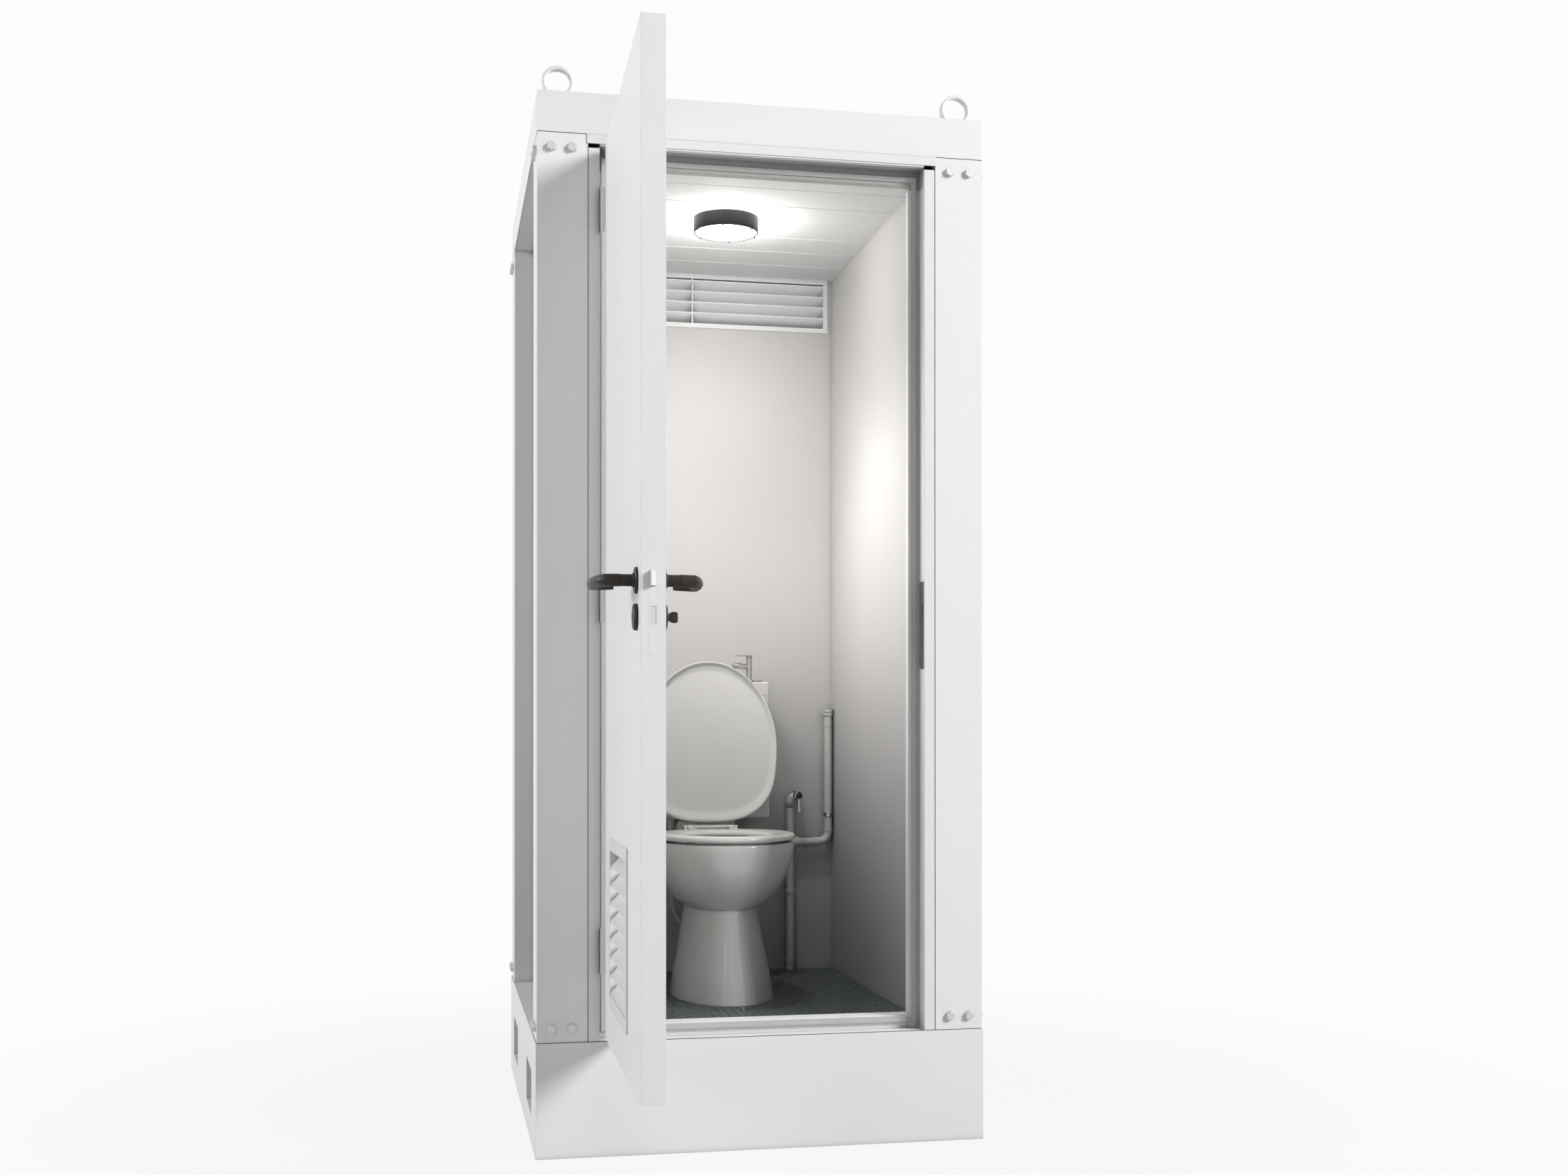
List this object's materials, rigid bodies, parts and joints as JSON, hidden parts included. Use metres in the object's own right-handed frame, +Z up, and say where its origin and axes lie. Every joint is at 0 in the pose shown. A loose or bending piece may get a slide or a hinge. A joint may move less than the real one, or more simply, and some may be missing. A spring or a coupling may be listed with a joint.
{
  "type": "portable toilet cabin",
  "caption": "White steel portable toilet cabin: folded base with fork pockets, corner posts, open door with lever and vent, toilet, hand basin cistern, ceiling lamp, rear louvre.",
  "frame": {"origin": "centre of the base frame's underside", "axes": "+Z up, front and door towards -Y, +X to the right seen from the front"},
  "size_m": [1.115, 2.0283, 2.608],
  "materials": {
    "cabin_paint": "satin white paint on folded steel",
    "wall_panel": "light grey coated sheet",
    "ceiling_panel": "matt light grey boards",
    "frame_paint": "satin white door frame",
    "door_paint": "smooth white coated sheet",
    "galvanised": "zinc plated steel",
    "floor_tread": "dark green-grey tread surface",
    "plywood": "film faced plywood edge",
    "black_plastic": "dark brown-black moulded plastic",
    "steel": "plain steel",
    "porcelain": "white glazed vitreous china",
    "white_plastic": "white moulded plastic",
    "lens": "opal lens",
    "lamp_grey": "dark grey moulded plastic",
    "rubber_seal": "soft black rubber",
    "pipe_grey": "light grey plastic pipe",
    "chrome": "polished plating",
    "vent_white": "white louvre blades",
    "hose_grey": "light flexible hose"
  },
  "bodies": {
    "cabin": {"base_frame": "cabin_paint", "fork_pockets": "cabin_paint", "floor_board": "plywood", "floor_covering": "floor_tread", "front_posts": "cabin_paint", "rear_posts": "cabin_paint", "roof_frame": "cabin_paint", "roof_sheet": "cabin_paint", "ceiling_battens": "plywood", "ceiling_boards": "ceiling_panel", "corner_bolts": "galvanised", "lifting_eyes": "cabin_paint", "left_wall": "wall_panel", "right_wall": "wall_panel", "rear_wall": "wall_panel", "wall_studs": "plywood", "rear_vent_frame": "vent_white", "rear_vent_slats": "vent_white", "door_frame": "frame_paint", "strike_plate": "steel", "door_sill": "frame_paint", "door_seal": "rubber_seal", "hinge_frame_leaves": "black_plastic", "hinge_pins": "steel", "lamp_body": "lamp_grey", "lamp_lens": "lens", "toilet_pan": "porcelain", "seat_hinge": "white_plastic", "cistern_tank": "porcelain", "basin_top": "porcelain", "tap_body": "chrome", "flush_valve": "white_plastic", "fill_valve": "white_plastic", "supply_hose": "hose_grey", "waste_pipe": "pipe_grey", "water_pipes": "pipe_grey", "pipe_clip": "chrome", "stop_valve": "chrome", "light_switch": "white_plastic"},
    "door": {"hinge_door_leaves": "black_plastic", "door_skin": "door_paint", "door_core": "plywood", "door_vent_frame": "vent_white", "door_vent_blades": "vent_white", "lock_case": "door_paint", "door_rosettes": "black_plastic"},
    "handle_set": {"lever_spindle": "steel", "outer_lever": "black_plastic", "inner_lever": "black_plastic"},
    "latch": {"latch_bolt": "steel"},
    "privacy_turn": {"thumb_turn": "black_plastic", "indicator_disc": "black_plastic"},
    "bolt": {"dead_bolt": "steel"},
    "seat": {"seat_ring": "white_plastic"},
    "lid": {"seat_lid": "white_plastic"},
    "button": {"flush_button": "chrome"},
    "tap": {"tap_lever": "chrome"},
    "valve": {"stop_valve_lever": "steel"},
    "rocker": {"switch_rocker": "white_plastic"},
    "float": {"float_arm": "white_plastic"}
  },
  "joints": [
    {"name": "door_hinge", "type": "hinge", "parent": "cabin", "child": "door", "pos_m": [-0.3985, -0.615, 1.344], "axis": [0, 0, 1], "range_deg": [-84, 90.8]},
    {"name": "handle_turn", "type": "hinge", "parent": "door", "child": "handle_set", "pos_m": [-0.37476, -1.3499, 1.307], "axis": [-0.9999, 0.014, 0], "range_deg": [0, 40], "stiffness_Nm_per_rad": 1.2, "springref_deg": -20.05},
    {"name": "latch_slide", "type": "slide", "parent": "door", "child": "latch", "axis": [0.014, 0.9999, 0], "range_m": [0, 0.011]},
    {"name": "privacy_turn_hinge", "type": "hinge", "parent": "door", "child": "privacy_turn", "pos_m": [-0.37476, -1.3499, 1.235], "axis": [-0.9999, 0.014, 0], "range_deg": [0, 90]},
    {"name": "bolt_slide", "type": "slide", "parent": "door", "child": "bolt", "axis": [-0.014, -0.9999, 0], "range_m": [0, 0.014]},
    {"name": "seat_hinge_joint", "type": "hinge", "parent": "cabin", "child": "seat", "pos_m": [0, 0.232, 0.736], "axis": [-1, 0, 0], "range_deg": [0, 93.5]},
    {"name": "lid_hinge_joint", "type": "hinge", "parent": "cabin", "child": "lid", "pos_m": [0, 0.232, 0.736], "axis": [1, 0, 0], "range_deg": [0, 94]},
    {"name": "flush_press", "type": "slide", "parent": "cabin", "child": "button", "axis": [0, 0, -1], "range_m": [0, 0.006], "stiffness_N_per_m": 350, "springref_m": -0.006},
    {"name": "tap_turn", "type": "hinge", "parent": "cabin", "child": "tap", "pos_m": [0.145, 0.41, 1.236], "axis": [0, 0, 1], "range_deg": [0, 90]},
    {"name": "stop_valve_turn", "type": "hinge", "parent": "cabin", "child": "valve", "pos_m": [0.303, 0.43, 0.816], "axis": [0, -1, 0], "range_deg": [0, 90]},
    {"name": "switch_tilt", "type": "hinge", "parent": "cabin", "child": "rocker", "pos_m": [-0.412, -0.455, 1.4], "axis": [0, 1, 0], "range_deg": [0, 12]},
    {"name": "float_lift", "type": "hinge", "parent": "cabin", "child": "float", "pos_m": [-0.081, 0.35, 0.957], "axis": [0, -1, 0], "range_deg": [0, 20]}
  ],
  "couplings": [
    {"joint": "latch_slide", "follows": "handle_turn", "m_per_rad": 0.015756},
    {"joint": "privacy_turn_hinge", "follows": "bolt_slide", "rad_per_m": 112.2}
  ]
}
